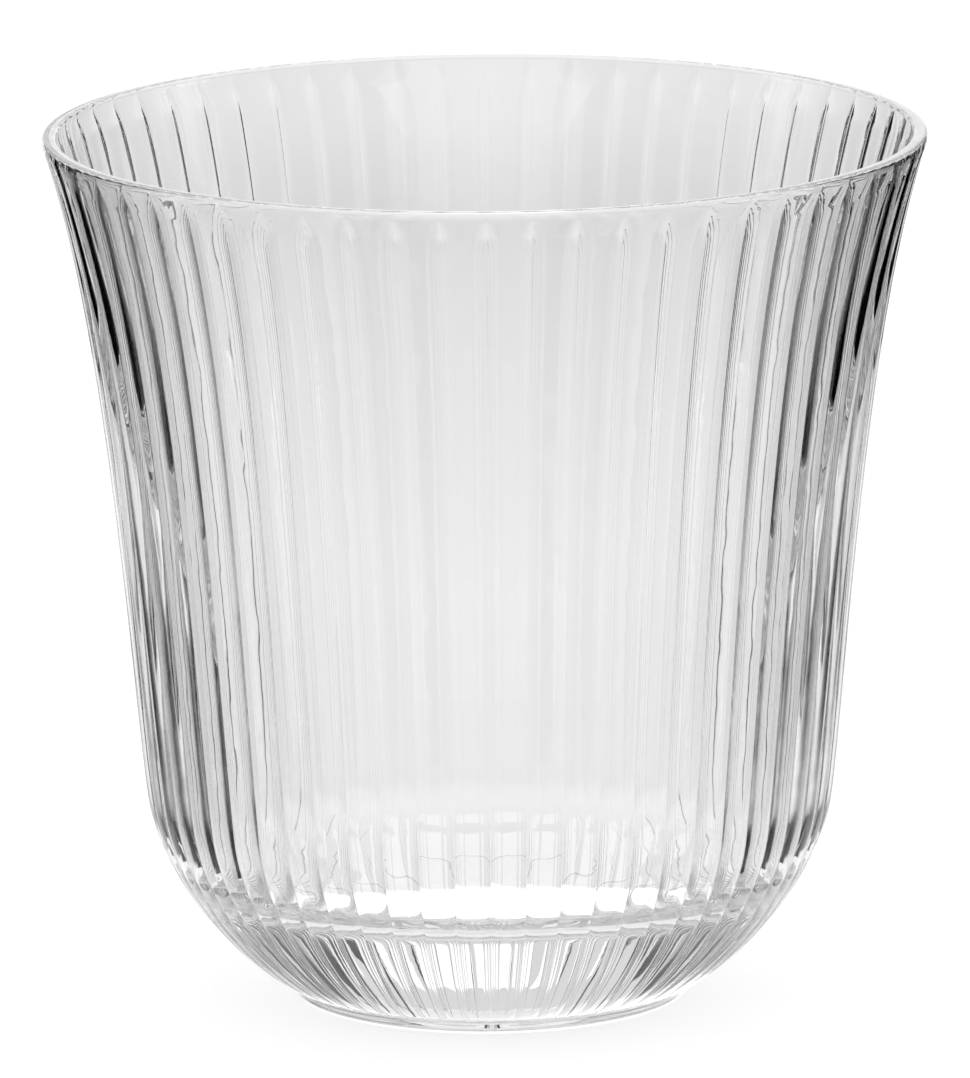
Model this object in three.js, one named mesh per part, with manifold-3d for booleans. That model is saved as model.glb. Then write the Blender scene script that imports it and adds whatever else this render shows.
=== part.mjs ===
// A clear glass tumbler: a ribbed bowl with a flared mouth, on a small plain foot.
// Millimetres, +Z up, the underside of the foot at z = 0.

import * as THREE from 'three';
import { mergeVertices } from 'three/addons/utils/BufferGeometryUtils.js';
import Module from 'manifold-3d';

// Driving sizes
const HEIGHT = 88;
const RIM_DIAMETER = 88;
const RIM_WALL = 1.4;
const LIP_HEIGHT = 0.9;
const HIP_DIAMETER = 68.6;
const HIP_WALL = 2.8;
const FOOT_DIAMETER = 39.4;
const FOOT_HEIGHT = 1.8;
const FLOOR_GLASS = 11.1;
const RIB_COUNT = 60;
const RIB_DEPTH = 0.25;

// Form of the outline: where the hip lies, how far the wall leans out per millimetre of rise,
// how long each curve keeps that lean, as shares of its own rise or width, and how flat a rib is
const HIP_SHARE = 0.225;
const HIP_LEAN = 0.127;
const RIM_LEAN = 0.338;
const SIDE_LOW_PULL = 0.2;
const SIDE_HIGH_PULL = 0.27;
const BOTTOM_OUT_PULL = 0.4;
const BOTTOM_UP_PULL = 0.15;
const BOTTOM_HIP_PULL = 0.42;
const INSIDE_LEAN = 0.1;
const INSIDE_LOW_PULL = 0.25;
const FLOOR_SHARE = 0.605;
const FLOOR_PULL = 0.83;
const CORNER_PULL = 0.9;
const RIB_FLATNESS = 4;

// Small forms: the bowl's overhang over the foot, the rounded edges, the ends of the grooves, and
// how far below the hip the inside turns from its corner into its side
const SEAM_OVERHANG = 0.8;
const LIP_ROUND = 0.35;
const GROOVE_END = 0.6;
const GROOVE_END_RING = 0.2;
const JOIN_DROP = 0.7;
const STAND_SHARE = 0.8;
const FOOT_EDGE_SHARE = 0.6;
const FOOT_TOP_ROUND = 0.2;

// Fineness of the facets
const STEPS_PER_RIB = 4;
const PLAIN_STEPS = 96;
const BOTTOM_RINGS = 5;
const SIDE_RINGS = 6;
const INSIDE_RINGS = 7;
const FOOT_EDGE_RINGS = 4;
const HALVINGS = 40;

// Clear colourless glass
const GLASS_COLOUR = 0xececec;
const GLASS_ROUGHNESS = 0.04;

// Sizes that follow
const rimRadius = RIM_DIAMETER / 2;
const hipRadius = HIP_DIAMETER / 2;
const footRadius = FOOT_DIAMETER / 2;
const seamRadius = footRadius + SEAM_OVERHANG;
const ribTop = HEIGHT - LIP_HEIGHT;
const hipHeight = FOOT_HEIGHT + HIP_SHARE * (HEIGHT - FOOT_HEIGHT);
const floorHeight = FOOT_HEIGHT + FLOOR_GLASS;
const bottomRise = hipHeight - FOOT_HEIGHT;
const sideRise = ribTop - hipHeight;

const wasm = await Module();
wasm.setup();

// One cubic between two [radius, height] points, with the pull at its start and at its end
function cubic(start, startPull, end, endPull) {
  return new THREE.CubicBezierCurve(
    new THREE.Vector2(...start),
    new THREE.Vector2(start[0] + startPull[0], start[1] + startPull[1]),
    new THREE.Vector2(end[0] - endPull[0], end[1] - endPull[1]),
    new THREE.Vector2(...end),
  );
}

// A flaring side from a low [radius, height] point up to the lip, leaning by a given amount below
function sideCurve(start, lean, lowPull, rimInset) {
  const rise = ribTop - start[1];
  const low = lowPull * rise;
  const high = SIDE_HIGH_PULL * rise;
  return cubic(start, [lean * low, low], [rimRadius - rimInset, ribTop], [RIM_LEAN * high, high]);
}

// Radius of a rising curve at a given height, by halving
function radiusAt(curve, height) {
  let low = 0;
  let high = 1;
  for (let step = 0; step < HALVINGS; step += 1) {
    const middle = (low + high) / 2;
    if (curve.getPoint(middle).y < height) low = middle;
    else high = middle;
  }
  return curve.getPoint(low).x;
}

function pairs(points) {
  return points.map((point) => [point.x, point.y]);
}

// A lathe about +Z from [radius, height] pairs, as one closed body
function lathe(profile, steps) {
  const geometry = new THREE.LatheGeometry(profile.map((pair) => new THREE.Vector2(...pair)), steps);
  geometry.rotateX(Math.PI / 2);
  geometry.deleteAttribute('normal');
  geometry.deleteAttribute('uv');
  return mergeVertices(geometry);
}

function solidOf(geometry) {
  const vertProperties = new Float32Array(geometry.attributes.position.array);
  const triVerts = new Uint32Array(geometry.index.array);
  return new wasm.Manifold(new wasm.Mesh({ numProp: 3, vertProperties, triVerts }));
}

function geometryOf(body) {
  const mesh = body.getMesh();
  const geometry = new THREE.BufferGeometry();
  geometry.setAttribute('position', new THREE.BufferAttribute(new Float32Array(mesh.vertProperties), 3));
  geometry.setIndex(new THREE.BufferAttribute(new Uint32Array(mesh.triVerts), 1));
  return geometry;
}

// Depth of the grooves between the ribs: each rib is a low flattened arch, and the grooves run out
// under the plain lip
function grooveDepth(angle, height) {
  const turn = (angle / (2 * Math.PI)) * RIB_COUNT;
  const across = 2 * (turn - Math.floor(turn)) - 1;
  const below = THREE.MathUtils.clamp((ribTop - height) / GROOVE_END, 0, 1);
  const runOut = below * (2 - below);
  return RIB_DEPTH * Math.abs(across) ** RIB_FLATNESS * runOut;
}

// Ribbed outside of the bowl as a full body: a round bottom, a side that flares, a plain lip
function bowlOutside() {
  const side = sideCurve([hipRadius, hipHeight], HIP_LEAN, SIDE_LOW_PULL, 0);
  const bottom = cubic(
    [seamRadius, FOOT_HEIGHT],
    [BOTTOM_OUT_PULL * (hipRadius - seamRadius), BOTTOM_UP_PULL * bottomRise],
    [hipRadius, hipHeight],
    [HIP_LEAN * BOTTOM_HIP_PULL * bottomRise, BOTTOM_HIP_PULL * bottomRise],
  );
  const heights = [];
  for (let ring = 0; ring <= SIDE_RINGS; ring += 1) {
    heights.push(hipHeight + (ring / SIDE_RINGS) * (sideRise - GROOVE_END));
  }
  heights.push(ribTop - GROOVE_END_RING, ribTop);
  const geometry = lathe([
    [0, FOOT_HEIGHT],
    ...pairs(bottom.getSpacedPoints(BOTTOM_RINGS).slice(0, -1)),
    ...heights.map((height) => [radiusAt(side, height), height]),
    [rimRadius, HEIGHT - LIP_ROUND],
    [rimRadius - LIP_ROUND, HEIGHT],
    [0, HEIGHT],
  ], RIB_COUNT * STEPS_PER_RIB);

  const place = geometry.attributes.position;
  for (let i = 0; i < place.count; i += 1) {
    const x = place.getX(i);
    const y = place.getY(i);
    const radius = Math.hypot(x, y);
    if (radius > 0) {
      const angle = Math.atan2(y, x) + 2 * Math.PI;
      const kept = 1 - grooveDepth(angle, place.getZ(i)) / radius;
      place.setXY(i, x * kept, y * kept);
    }
  }
  return geometry;
}

// Smooth inside of the bowl: a flat floor, a round corner, a side that follows the outside, open above
function bowlInside() {
  const join = [hipRadius - HIP_LEAN * JOIN_DROP - HIP_WALL, hipHeight - JOIN_DROP];
  const rimInside = rimRadius - RIM_WALL;
  const floorRadius = FLOOR_SHARE * join[0];
  const rise = CORNER_PULL * (join[1] - floorHeight);
  const corner = cubic(
    [floorRadius, floorHeight], [FLOOR_PULL * (join[0] - floorRadius), 0],
    join, [INSIDE_LEAN * rise, rise],
  );
  const side = sideCurve(join, INSIDE_LEAN, INSIDE_LOW_PULL, RIM_WALL);
  return lathe([
    [0, floorHeight],
    ...pairs(corner.getSpacedPoints(INSIDE_RINGS).slice(0, -1)),
    ...pairs(side.getSpacedPoints(INSIDE_RINGS)),
    [rimInside, HEIGHT - LIP_ROUND],
    [rimInside + LIP_ROUND, HEIGHT],
    [rimInside + LIP_ROUND, HEIGHT + LIP_HEIGHT],
    [0, HEIGHT + LIP_HEIGHT],
  ], PLAIN_STEPS);
}

// Plain foot: a disc with a round lower edge, flat on top where the bowl sits
function footDisc() {
  const standRadius = STAND_SHARE * footRadius;
  const edgeHeight = FOOT_EDGE_SHARE * FOOT_HEIGHT;
  const edge = [];
  for (let ring = 0; ring <= FOOT_EDGE_RINGS; ring += 1) {
    const angle = (ring / FOOT_EDGE_RINGS) * (Math.PI / 2);
    const radius = standRadius + (footRadius - standRadius) * Math.sin(angle);
    edge.push([radius, edgeHeight * (1 - Math.cos(angle))]);
  }
  return lathe([
    [0, 0],
    ...edge,
    [footRadius, FOOT_HEIGHT - FOOT_TOP_ROUND],
    [footRadius - FOOT_TOP_ROUND, FOOT_HEIGHT],
    [0, FOOT_HEIGHT],
  ], PLAIN_STEPS);
}

// One named piece of glass with a material of its own
function glass(name, geometry) {
  geometry.computeVertexNormals();
  const material = new THREE.MeshStandardMaterial({ color: GLASS_COLOUR, roughness: GLASS_ROUGHNESS, metalness: 0 });
  const mesh = new THREE.Mesh(geometry, material);
  mesh.name = name;
  return mesh;
}

const tumbler = new THREE.Group();
tumbler.name = 'tumbler';
tumbler.add(glass('ribbed_bowl', geometryOf(solidOf(bowlOutside()).subtract(solidOf(bowlInside())))));
tumbler.add(glass('foot', footDisc()));

export default tumbler;
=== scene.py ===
# %% [markdown]
# A ribbed drinking glass, dressed for its picture.
#
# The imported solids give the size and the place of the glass. This lesson makes one fine clear body
# in their place, gives it a glass finish, and stands it on a pale table in soft light. The frame
# comes first, because the main sizes below are read from it and never guessed a second time.

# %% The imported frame
import math

import bpy
import numpy as np
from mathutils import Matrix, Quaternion, Vector


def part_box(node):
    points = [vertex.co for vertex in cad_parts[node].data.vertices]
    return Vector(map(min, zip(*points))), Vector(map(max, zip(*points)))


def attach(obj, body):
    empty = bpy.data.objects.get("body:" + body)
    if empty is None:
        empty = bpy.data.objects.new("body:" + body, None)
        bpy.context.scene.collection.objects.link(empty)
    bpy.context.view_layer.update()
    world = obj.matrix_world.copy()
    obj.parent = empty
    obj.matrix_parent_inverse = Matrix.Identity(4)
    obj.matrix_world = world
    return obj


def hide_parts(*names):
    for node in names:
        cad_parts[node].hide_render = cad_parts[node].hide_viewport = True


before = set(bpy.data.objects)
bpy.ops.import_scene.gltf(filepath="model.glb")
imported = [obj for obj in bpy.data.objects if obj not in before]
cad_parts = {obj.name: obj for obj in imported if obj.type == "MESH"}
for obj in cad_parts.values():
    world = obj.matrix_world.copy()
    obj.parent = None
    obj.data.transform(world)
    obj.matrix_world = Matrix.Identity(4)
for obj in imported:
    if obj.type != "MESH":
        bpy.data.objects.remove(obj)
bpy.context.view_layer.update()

MM = 0.001
bowl_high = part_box("ribbed_bowl")[1]
foot_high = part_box("foot")[1]
HEIGHT = bowl_high.z
RIM_RADIUS = bowl_high.x
FOOT_RADIUS = foot_high.x
FOOT_HEIGHT = foot_high.z
print("glass", round(HEIGHT / MM, 2), "mm tall,", round(2 * RIM_RADIUS / MM, 2), "mm across the rim")

# %% [markdown]
# The camera.
#
# The photograph looks down on the glass by about twelve degrees, from well back with a long lens, so
# the mouth is a flat ellipse and the sides hardly converge. A camera can be fitted by eye in the
# viewport; here the tilt comes from the ellipse of the rim and the distance from how much flatter
# that ellipse is than the curve of the foot, and both stay as named values. The picture is as tall
# as a strip of 107.6 mm at the glass, which sets the lens.

# %% Camera
CAMERA_DISTANCE = 1.76
CAMERA_RISE = math.radians(11.75)
CAMERA_ROLL = math.radians(-0.47)
AIM = Vector((-0.3 * MM, 0, 46.6 * MM))
PICTURE_HEIGHT = 107.64 * MM
SENSOR = 36.0
FAR_CLIP = 50.0

camera = bpy.data.cameras.new("picture_camera")
camera.sensor_width = SENSOR
camera.lens = SENSOR * CAMERA_DISTANCE / PICTURE_HEIGHT
camera.clip_end = FAR_CLIP
camera_object = bpy.data.objects.new("picture_camera", camera)
bpy.context.scene.collection.objects.link(camera_object)
bpy.context.scene.camera = camera_object
back_and_up = Vector((0, -math.cos(CAMERA_RISE), math.sin(CAMERA_RISE)))
camera_object.location = AIM + CAMERA_DISTANCE * back_and_up
camera_object.rotation_mode = "QUATERNION"
level_look = (-back_and_up).to_track_quat("-Z", "Y")
camera_object.rotation_quaternion = level_look @ Quaternion((0, 0, 1), CAMERA_ROLL)
print("lens", round(camera.lens, 1), "mm")

# %% [markdown]
# Shader maths in plain Python.
#
# A material is a small graph of nodes. It could be wired by hand, one link at a time, but sums of
# sockets read better as sums. A Wire wraps one output socket, and an operator on it adds the Math
# node that does that sum. A Bench holds one node tree and has one method for every other node: its
# type, its settings, which are set first, and then the values or wires of its sockets.


# %% Wires and benches
class Wire:
    """One output socket. Sums and products of wires and numbers add Math nodes to its bench."""

    def __init__(self, bench, socket):
        self.bench = bench
        self.socket = socket

    def maths(self, operation, first, second):
        return self.bench.node("ShaderNodeMath", {"operation": operation}, {0: first, 1: second})

    def __add__(self, other):
        return self.maths("ADD", self, other)

    def __sub__(self, other):
        return self.maths("SUBTRACT", self, other)

    def __mul__(self, other):
        return self.maths("MULTIPLY", self, other)

    def __rmul__(self, other):
        return self.maths("MULTIPLY", other, self)

    def at_least(self, other):
        return self.maths("MAXIMUM", self, other)

    def unsigned(self):
        return self.maths("ABSOLUTE", self, 0.0)


class Bench:
    """The node tree of a material or a world, cleared and ready to be wired."""

    def __init__(self, owner):
        owner.use_nodes = True
        self.tree = owner.node_tree
        self.tree.nodes.clear()

    def node(self, kind, settings=None, sockets=None, output=0):
        made = self.tree.nodes.new(kind)
        for name, value in (settings or {}).items():
            setattr(made, name, value)
        for key, value in (sockets or {}).items():
            if isinstance(value, Wire):
                self.tree.links.new(value.socket, made.inputs[key])
            else:
                made.inputs[key].default_value = value
        if not made.outputs:
            return None
        return Wire(self, made.outputs[output])


def grey(level):
    """A neutral colour of one level."""
    return (level, level, level, 1.0)


def ramp(factor, stops):
    """A grey level that runs through (place, level) stops as the factor goes from 0 to 1."""
    shade = factor.bench.node("ShaderNodeValToRGB", None, {"Fac": factor})
    places = shade.socket.node.color_ramp.elements
    places.remove(places[1])
    places[0].position, places[0].color = stops[0][0], grey(stops[0][1])
    for place, level in stops[1:]:
        places.new(place).color = grey(level)
    return shade


# %% [markdown]
# The outline of the glass.
#
# The real glass is one fused piece, so bowl and foot are one clear body with no joint inside.
# Two touching solids would show a false mirror where they meet, so the picture's body is a single
# closed skin. Its outline starts under the middle of the foot, goes out and up the outside, turns
# over the lip and comes down the inside to the middle of the floor. Each stretch is one cubic curve
# or one arc, so the whole form follows from a few sizes. The wall is thin, and the floor is a thick
# slab, flat in the middle and round in its corner. The bright band across the base is the painted
# pool of light on the table under the foot, seen through that slab, and the light tongues below it
# are the lamp behind the glass, mirrored inside the slab.

# %% Outline
RIM_WALL = 1.4 * MM
LIP_HEIGHT = 0.9 * MM
LIP_ROUND = 0.35 * MM
HIP_RADIUS = 34.3 * MM
HIP_SHARE = 0.225
HIP_LEAN = 0.127
RIM_LEAN = 0.338
STAND_SHARE = 0.8
FOOT_EDGE_SHARE = 0.6
SEAM_OVERHANG = 0.8 * MM
SEAM_NECK = 0.1 * MM
FLOOR_GLASS = 11.1 * MM
FLOOR_RADIUS = 19.0 * MM
FLOOR_PULL = 0.83
CORNER_PULL = 0.9
JOIN_RADIUS = 31.4 * MM
JOIN_HEIGHT = 20.5 * MM
JOIN_LEAN = 0.1
JOIN_PULL = 0.25
HIP_PULL = 0.2
RIM_PULL = 0.27
BOTTOM_OUT_PULL = 0.4
BOTTOM_UP_PULL = 0.15
BOTTOM_HIP_PULL = 0.42
FOOT_SIDE_TOP = 1.4 * MM
NECK_RISE_PULL = 0.25 * MM
NECK_OUT_PULL = (0.7 * MM, 0.05 * MM)
UNDERSIDE_STEPS = 7
FOOT_EDGE_STEPS = 10
NECK_STEPS = 5
BOTTOM_STEPS = 24
SIDE_STEPS = 32
LIP_STEPS = 6
INSIDE_STEPS = 28
CORNER_STEPS = 26
FLOOR_STEPS = 5
SAME_POINT = 0.001 * MM

RIB_TOP = HEIGHT - LIP_HEIGHT
HIP_HEIGHT = FOOT_HEIGHT + HIP_SHARE * (HEIGHT - FOOT_HEIGHT)
FLOOR_HEIGHT = FOOT_HEIGHT + FLOOR_GLASS
SEAM_RADIUS = FOOT_RADIUS + SEAM_OVERHANG


def cubic(start, start_pull, end, end_pull, steps):
    """Points of the cubic Bezier curve from start to end; each pull is a handle along the curve."""
    start, end = np.array(start), np.array(end)
    t = np.linspace(0, 1, steps)[:, None]
    s = 1 - t
    handles = start + np.array(start_pull), end - np.array(end_pull)
    return s**3 * start + 3 * s**2 * t * handles[0] + 3 * s * t**2 * handles[1] + t**3 * end


def arc(centre, across, up, start, end, steps):
    """Points of an elliptical arc: centre + (across cos a, up sin a), a from start to end."""
    angle = np.linspace(start, end, steps)
    return np.stack([centre[0] + across * np.cos(angle), centre[1] + up * np.sin(angle)], 1)


def line(start, end, steps):
    """Points of a straight line."""
    return np.linspace(np.array(start), np.array(end), steps)


def outside_curves():
    """Foot, round bottom and flaring side, from the middle of the underside up to the lip."""
    stand = STAND_SHARE * FOOT_RADIUS
    edge = FOOT_EDGE_SHARE * FOOT_HEIGHT
    rise = HIP_HEIGHT - FOOT_HEIGHT
    width = HIP_RADIUS - SEAM_RADIUS
    climb = RIB_TOP - HIP_HEIGHT
    seam = (SEAM_RADIUS, FOOT_HEIGHT + SEAM_NECK)
    low, high = HIP_PULL * climb, RIM_PULL * climb
    return [
        line((0, 0), (stand, 0), UNDERSIDE_STEPS),
        arc((stand, edge), FOOT_RADIUS - stand, edge, -math.pi / 2, 0, FOOT_EDGE_STEPS),
        cubic((FOOT_RADIUS, FOOT_SIDE_TOP), (0, NECK_RISE_PULL), seam, NECK_OUT_PULL, NECK_STEPS),
        cubic(seam, (BOTTOM_OUT_PULL * width, BOTTOM_UP_PULL * rise), (HIP_RADIUS, HIP_HEIGHT),
              (HIP_LEAN * BOTTOM_HIP_PULL * rise, BOTTOM_HIP_PULL * rise), BOTTOM_STEPS),
        cubic((HIP_RADIUS, HIP_HEIGHT), (HIP_LEAN * low, low), (RIM_RADIUS, RIB_TOP),
              (RIM_LEAN * high, high), SIDE_STEPS),
    ]


def lip_and_inside_curves():
    """The rounded lip, the inside of the wall, the round corner and the flat floor, to the axis."""
    top = HEIGHT - LIP_ROUND
    rim_inside = RIM_RADIUS - RIM_WALL
    climb = RIB_TOP - JOIN_HEIGHT
    low, high = JOIN_PULL * climb, RIM_PULL * climb
    rise = CORNER_PULL * (JOIN_HEIGHT - FLOOR_HEIGHT)
    reach = FLOOR_PULL * (JOIN_RADIUS - FLOOR_RADIUS)
    side = cubic((JOIN_RADIUS, JOIN_HEIGHT), (JOIN_LEAN * low, low), (rim_inside, RIB_TOP),
                 (RIM_LEAN * high, high), INSIDE_STEPS)
    corner = cubic((FLOOR_RADIUS, FLOOR_HEIGHT), (reach, 0), (JOIN_RADIUS, JOIN_HEIGHT),
                   (JOIN_LEAN * rise, rise), CORNER_STEPS)
    return [
        arc((RIM_RADIUS - LIP_ROUND, top), LIP_ROUND, LIP_ROUND, 0, math.pi / 2, LIP_STEPS),
        arc((rim_inside + LIP_ROUND, top), LIP_ROUND, LIP_ROUND, math.pi / 2, math.pi, LIP_STEPS),
        side[::-1],
        corner[::-1],
        line((FLOOR_RADIUS, FLOOR_HEIGHT), (0, FLOOR_HEIGHT), FLOOR_STEPS),
    ]


def join(curves):
    """One run of points from several curves, with the repeated end points left out."""
    run = np.concatenate(curves)
    apart = np.hypot(*np.diff(run, axis=0).T) > SAME_POINT
    return run[np.concatenate([[True], apart])]


outside = join(outside_curves())
inside = join(lip_and_inside_curves())
outline = np.concatenate([outside, inside])
print("outline of", len(outline), "points")

# %% [markdown]
# The ribs.
#
# Sixty ribs run down the outside, each a low flattened arch between two sharp grooves. They are too
# deep for a bump map: they bend what is seen through the wall and show in its edge, so they are
# real shape. The grooves are cut into the outline by a depth that changes with the angle and fades
# out just under the plain lip and just above the foot. The arch is nearly flat across its middle and
# falls away close to the grooves, so the steps of the mesh are set closer there.

# %% Ribbed skin
RIB_COUNT = 60
STEPS_PER_RIB = 10
RIB_DEPTH = 0.25 * MM
RIB_FLATNESS = 4
GROOVE_END = 0.6 * MM
GROOVE_START = 1.2 * MM
CUBIC_CM_PER_CUBIC_M = 1e6


def fade(distance, length):
    """0 at no distance, 1 from length on, arriving level: b (2 - b) with b = distance / length."""
    share = np.clip(distance / length, 0, 1)
    return share * (2 - share)


def ribbed_skin(outline, ribbed_rows):
    """Point (s, a) of the skin: the outline's radius at s, less the groove, turned by angle a.

    Groove = depth x |across|^flatness x fades. Across = -cos(pi k / steps) runs from -1 to 1 over a
    rib, so its steps k crowd towards the grooves, and a = 2 pi (rib + (1 + across) / 2) / ribs.
    """
    across = -np.cos(math.pi * np.arange(STEPS_PER_RIB) / STEPS_PER_RIB)
    angle = 2 * math.pi * (np.arange(RIB_COUNT)[:, None] + (1 + across) / 2).ravel() / RIB_COUNT
    groove = RIB_DEPTH * np.abs(np.tile(across, RIB_COUNT))**RIB_FLATNESS
    radius, height = outline[:, :1], outline[:, 1:]
    ends = fade(RIB_TOP - height, GROOVE_END) * fade(height - FOOT_HEIGHT, GROOVE_START)
    radius = radius - groove * ends * ribbed_rows[:, None]
    height = np.broadcast_to(height, radius.shape)
    return np.stack([radius * np.sin(angle), -radius * np.cos(angle), height], -1)


def closed_mesh(name, grid):
    """A mesh from a grid of rings whose first and last ring are single points on the axis."""
    rings, steps = grid.shape[0] - 2, grid.shape[1]
    points = np.concatenate([grid[0, :1], grid[1:-1].reshape(-1, 3), grid[-1, :1]])
    here = np.arange(steps)
    beside = (here + 1) % steps
    ring = 1 + steps * np.arange(rings)[:, None]
    quads = np.stack([ring[:-1] + here, ring[:-1] + beside, ring[1:] + beside, ring[1:] + here], -1)
    last = len(points) - 1
    start_fan = np.stack([np.zeros_like(here), 1 + beside, 1 + here], -1)
    end_fan = np.stack([np.full_like(here, last), ring[-1] + here, ring[-1] + beside], -1)
    faces = quads.reshape(-1, 4).tolist() + start_fan.tolist() + end_fan.tolist()
    mesh = bpy.data.meshes.new(name)
    mesh.from_pydata(points.tolist(), [], faces)
    mesh.shade_smooth()
    return mesh


def enclosed_volume(mesh):
    """Volume inside a closed mesh by the divergence theorem, positive if its faces point outwards."""
    mesh.calc_loop_triangles()
    corners = np.empty(len(mesh.loop_triangles) * 3, np.int32)
    mesh.loop_triangles.foreach_get("vertices", corners)
    places = np.empty(len(mesh.vertices) * 3, np.float32)
    mesh.vertices.foreach_get("co", places)
    a, b, c = places.reshape(-1, 3).astype(float)[corners.reshape(-1, 3)].transpose(1, 0, 2)
    return float((a * np.cross(b, c)).sum() / 6)


ribbed_rows = np.concatenate([np.ones(len(outside)), np.zeros(len(inside))])
glass_mesh = closed_mesh("glass_tumbler", ribbed_skin(outline, ribbed_rows))
glass_tumbler = bpy.data.objects.new("glass_tumbler", glass_mesh)
bpy.context.scene.collection.objects.link(glass_tumbler)
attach(glass_tumbler, "root")
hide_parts("ribbed_bowl", "foot")
glass_volume = enclosed_volume(glass_mesh) * CUBIC_CM_PER_CUBIC_M
print("glass of", round(glass_volume, 1), "cubic centimetres,",
      len(glass_mesh.loop_triangles), "triangles")

# %% [markdown]
# Clear pressed glass.
#
# Glass has no paint of its own: its look is bending, mirroring and a little loss of light. The
# Principled shader with full transmission does the first two. A neutral base colour takes a few
# parts in a hundred at each face, clouded very slightly, as poured glass is. Absorption in the body
# greys the long paths in the thick base. The mould leaves a soft waviness that makes the lines in
# the ribs waver. It is far too shallow for real shape, so it is a bump made of noise.

# %% Glass finish
GLASS_BEND = 1.52
CLEAREST = 0.955
CLOUDIEST = 0.935
CLOUD_SCALE = 60
CLOUD_DETAIL = 2.0
WAVE_SCALE = 220
WAVE_DETAIL = 1.0
WAVE_HEIGHT = 0.02 * MM
ABSORBED_COLOUR = grey(0.9)
ABSORPTION = 10.0


def pressed_glass():
    """Clear glass with a slightly clouded tint, soft waves and absorption in its body."""
    material = bpy.data.materials.new("pressed_glass")
    bench = Bench(material)
    place = bench.node("ShaderNodeTexCoord", output="Object")
    cloud = bench.node("ShaderNodeTexNoise", None,
                       {"Vector": place, "Scale": CLOUD_SCALE, "Detail": CLOUD_DETAIL})
    tint = bench.node("ShaderNodeMix", {"data_type": "RGBA"},
                      {"Factor": cloud, "A": grey(CLEAREST), "B": grey(CLOUDIEST)}, "Result")
    wave = bench.node("ShaderNodeTexNoise", None,
                      {"Vector": place, "Scale": WAVE_SCALE, "Detail": WAVE_DETAIL})
    waves = bench.node("ShaderNodeBump", None, {"Height": wave, "Distance": WAVE_HEIGHT})
    glass = bench.node("ShaderNodeBsdfPrincipled", None, {
        "Base Color": tint, "Roughness": 0.0, "IOR": GLASS_BEND, "Transmission Weight": 1.0,
        "Normal": waves})
    body = bench.node("ShaderNodeVolumeAbsorption", None,
                      {"Color": ABSORBED_COLOUR, "Density": ABSORPTION})
    bench.node("ShaderNodeOutputMaterial", None, {"Surface": glass, "Volume": body})
    return material


glass_mesh.materials.append(pressed_glass())

# %% [markdown]
# The table.
#
# The glass stands on a white table, a sheet which runs on as its own background because the camera
# looks down and a long lens sees no horizon. Brighter lamps would wash out the glass, so the sheet
# gives a little light of its own, which only the camera, mirror and glass rays see, and takes the
# rest from the lamps, so that a faint shadow stays. For the camera that light is even. For mirror and
# glass rays it is painted light and shade that changes from place to place: a painted pool of light
# on a round spot under the foot, where the thick base would gather light, painted light close to the
# foot and out to the sides, and painted shade some way behind the glass, which greys the wall towards
# the rim. A ramp along the distance and a slope to the sides paint it. The sheet lies a hair below
# the standing face, because two faces in one plane would fight.

# %% Table
TABLE_HALF = 6.0
TABLE_GAP = 0.2 * MM
TABLE_WHITE = 0.5
TABLE_MOTTLE = 0.48
MOTTLE_SCALE = 3.0
TABLE_ROUGHNESS = 0.9
CAMERA_GLOW = 0.75
# Painted light close to the foot and out to the sides, painted shade some way behind, for mirror and
# glass rays.
PAINTED_REACH = 0.5
LIGHT_AND_SHADE_STOPS = ((0.0, 0.75), (0.1, 0.7), (0.16, 0.59), (0.38, 0.585), (0.79, 0.39), (0.93, 0.5))
SIDE_PAINTED_LIGHT = 0.8
# A painted pool of light on the sheet under the foot, where the thick base would gather light.
LIGHT_POOL_PLACE = (2 * MM, -2 * MM, 0)
LIGHT_POOL_WIDTH = 42 * MM
LIGHT_POOL_LENGTH = 34 * MM
LIGHT_POOL_STOPS = ((0.0, 1.3), (0.48, 1.3), (0.52, 0.0))


def board(name, corners, material):
    """One or more flat stage boards, each with four corners, as one object."""
    mesh = bpy.data.meshes.new(name)
    mesh.from_pydata(corners, [], [range(first, first + 4) for first in range(0, len(corners), 4)])
    mesh.materials.append(material)
    made = bpy.data.objects.new(name, mesh)
    bpy.context.scene.collection.objects.link(made)
    return made


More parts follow.
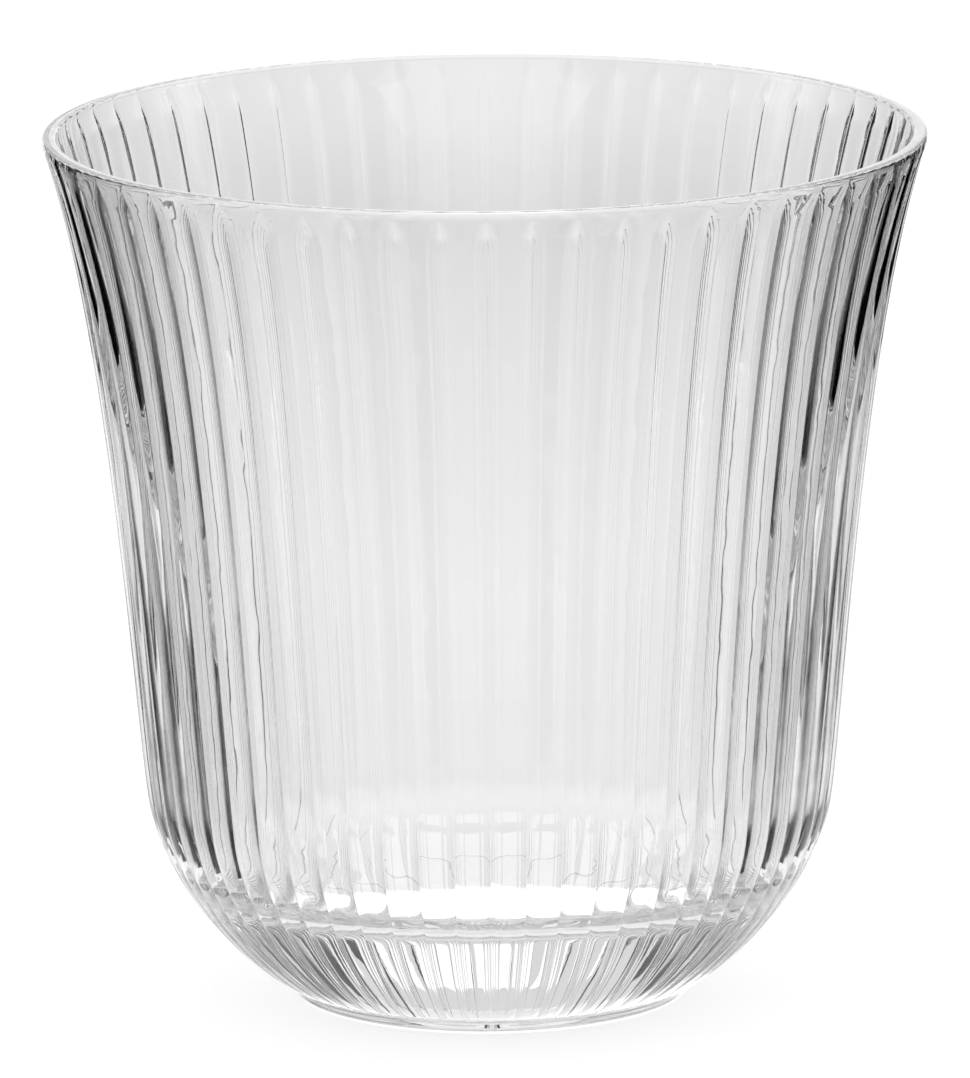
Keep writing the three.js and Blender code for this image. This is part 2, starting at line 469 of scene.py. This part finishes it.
def table_with_painted_light():
    """Faintly mottled matt white, an even glow to the camera, painted light and shade to mirror and
    glass.
    """
    material = bpy.data.materials.new("table_with_painted_light")
    bench = Bench(material)
    place = bench.node("ShaderNodeTexCoord", output="Object")
    mottle = bench.node("ShaderNodeTexNoise", None, {"Vector": place, "Scale": MOTTLE_SCALE})
    colour = bench.node("ShaderNodeMix", {"data_type": "RGBA"},
                        {"Factor": mottle, "A": grey(TABLE_WHITE), "B": grey(TABLE_MOTTLE)}, "Result")
    distance = bench.node("ShaderNodeVectorMath", {"operation": "LENGTH"}, {0: place}, "Value")
    from_light_pool = bench.node("ShaderNodeVectorMath", {"operation": "SUBTRACT"},
                           {0: place, 1: LIGHT_POOL_PLACE})
    in_light_pool = bench.node("ShaderNodeVectorMath", {"operation": "MULTIPLY"}, {
        0: from_light_pool, 1: (1 / LIGHT_POOL_WIDTH, 1 / LIGHT_POOL_LENGTH, 0)})
    reach = bench.node("ShaderNodeVectorMath", {"operation": "LENGTH"}, {0: in_light_pool}, "Value")
    across = bench.node("ShaderNodeSeparateXYZ", None, {0: place}, "X")
    # Painted light near the foot and to the sides, painted shade further off, and a painted pool of
    # light under the foot.
    painted_light_and_shade = ramp(distance * (1 / PAINTED_REACH), LIGHT_AND_SHADE_STOPS) + SIDE_PAINTED_LIGHT * across.unsigned()
    painted_glow = painted_light_and_shade + ramp(reach, LIGHT_POOL_STOPS)
    seen = bench.node("ShaderNodeLightPath", output="Is Camera Ray")
    mirrored = bench.node("ShaderNodeLightPath", output="Is Glossy Ray")
    through = bench.node("ShaderNodeLightPath", output="Is Transmission Ray")
    shown_glow = CAMERA_GLOW * seen + painted_glow * mirrored.at_least(through)
    surface = bench.node("ShaderNodeBsdfPrincipled", None, {
        "Base Color": colour, "Roughness": TABLE_ROUGHNESS, "Specular IOR Level": 0.0,
        "Emission Color": shown_glow, "Emission Strength": 1.0})
    bench.node("ShaderNodeOutputMaterial", None, {"Surface": surface})
    return material


table_corners = [(x * TABLE_HALF, y * TABLE_HALF, -TABLE_GAP)
                 for x, y in ((-1, -1), (1, -1), (1, 1), (-1, 1))]
board("table_with_painted_light", table_corners, table_with_painted_light())

# %% [markdown]
# The light.
#
# Clear glass is drawn by what it mirrors and bends, so the light is a room of pale walls with a few
# boards in it. A soft box behind the glass, above the picture, is mirrored in the base. The camera
# looks down, so the outer ribs show the table beside and behind the glass: on each side a dark sheet
# of painted shade lies there, for the shade on the table beside the glass, and draws their dark
# lines. Each sheet of painted shade thins out towards the glass and keeps further away behind it, so
# that the middle of the glass stays clear, and the right one is the darker. A dark flag stands along
# each sheet's outer edge and darkens the low ribs of the base, which look across the table. The
# painted shade and the flags are made of thin upright slats that run across the picture, so a ray
# that comes straight from the side passes between them, and from the side the glass is less dark
# than with whole sheets. Lamps could do the same, but boards have plain edges that can be placed one
# by one. None of them is seen by the camera itself, and the dark ones take no light from the table.

# %% Light
ROOM_LEVEL = 0.75
REAR_LEVEL = 1.3
REAR_SPAN = (-0.06, 0.14)
REAR_PLACE = 0.65
REAR_RISE = (0.09, 0.24)
# The low slats beside the glass are painted shade on the table.
SHADE_END = 0.25
DARK_EDGE = 0.045
DARK_FADE = ((0.0, 0.0), (0.55, 0.7), (1.0, 1.0))
SHADE_REACH = (-0.06, 1.5)
SLAT_RISE = 6 * MM
SLAT_GAP = 4 * MM
FLAG_RISE = 0.3
FLAG_DEPTH = 0.05
FLAG_GAP = 0.01
FLAG_REACH = (-0.6, 0.75)
RIGHT_DARK = 1.0
RIGHT_START = 0.07
RIGHT_SPREAD = 0.13
LEFT_DARK = 0.95
LEFT_START = 0.055
LEFT_SPREAD = 0.3


def glow(name, level):
    """An even white glow."""
    material = bpy.data.materials.new(name)
    bench = Bench(material)
    light = bench.node("ShaderNodeEmission", None, {"Color": grey(1.0), "Strength": level})
    bench.node("ShaderNodeOutputMaterial", None, {"Surface": light})
    return material


def black_and_painted_shade(name, strength, start, spread):
    """Black that thins out to clear towards the glass; on the low slats it is painted shade."""
    material = bpy.data.materials.new(name)
    bench = Bench(material)
    place = bench.node("ShaderNodeTexCoord", output="Object")
    across = bench.node("ShaderNodeSeparateXYZ", None, {0: place}, "X")
    behind = bench.node("ShaderNodeSeparateXYZ", None, {0: place}, "Y")
    side = across.unsigned() - spread * behind.at_least(0.0) - start
    # Painted shade on the low slats, the flags' own black on the high ones.
    cover = strength * ramp(side * (1 / DARK_EDGE), DARK_FADE)
    clear = bench.node("ShaderNodeBsdfTransparent")
    black = bench.node("ShaderNodeEmission", None, {"Strength": 0.0})
    mixed = bench.node("ShaderNodeMixShader", None, {0: cover, 1: clear, 2: black})
    bench.node("ShaderNodeOutputMaterial", None, {"Surface": mixed})
    return material


def standing_box(name, span, place, rise, level):
    """An upright soft box across the picture, at a place along y, between two heights."""
    (left, right), (low, high) = span, rise
    corners = [(left, place, low), (right, place, low), (right, place, high), (left, place, high)]
    made = board(name, corners, glow(name, level))
    made.visible_camera = False


def slat(near, far, place, rise):
    """Corners of one upright board along x, at a place along y."""
    return [(near, place, 0), (far, place, 0), (far, place, rise), (near, place, rise)]


def dark_side(name, turn, strength, start, spread):
    """Painted-shade slats on the table, flags at their outer end, met by mirror and glass rays only.
    """
    dark = black_and_painted_shade(name, strength, start, spread)
    low, high = [], []
    # Low slats: painted shade on the table beside the glass.
    for place in np.arange(*SHADE_REACH, SLAT_GAP).tolist():
        near = start + spread * max(place, 0)
        if near < SHADE_END:
            low += slat(turn * near, turn * SHADE_END, place, SLAT_RISE)
    for place in np.arange(*FLAG_REACH, FLAG_GAP).tolist():
        high += slat(turn * SHADE_END, turn * (SHADE_END + FLAG_DEPTH), place, FLAG_RISE)
    for made in (board(name + "_cloth", low, dark), board(name + "_flag", high, dark)):
        made.visible_camera = False
        made.visible_diffuse = False
        made.visible_shadow = False


room = bpy.data.worlds.new("pale_room")
bpy.context.scene.world = room
room_bench = Bench(room)
walls = room_bench.node("ShaderNodeBackground", None, {"Color": grey(ROOM_LEVEL)})
room_bench.node("ShaderNodeOutputWorld", None, {"Surface": walls})

standing_box("rear_box", REAR_SPAN, REAR_PLACE, REAR_RISE, REAR_LEVEL)
dark_side("left", -1, LEFT_DARK, LEFT_START, LEFT_SPREAD)
dark_side("right", 1, RIGHT_DARK, RIGHT_START, RIGHT_SPREAD)

# %% [markdown]
# The picture's settings.
#
# The plain view transform shows a colour as it is written. Light in the base turns back and forth
# between the faces many times, and each mirror turn counts, so the usual limits would leave black
# patches there; they are raised.

# %% Settings
LIGHT_TURNS = 48
scene = bpy.context.scene
scene.view_settings.view_transform = "Standard"
scene.cycles.max_bounces = LIGHT_TURNS
scene.cycles.transmission_bounces = LIGHT_TURNS
scene.cycles.glossy_bounces = LIGHT_TURNS
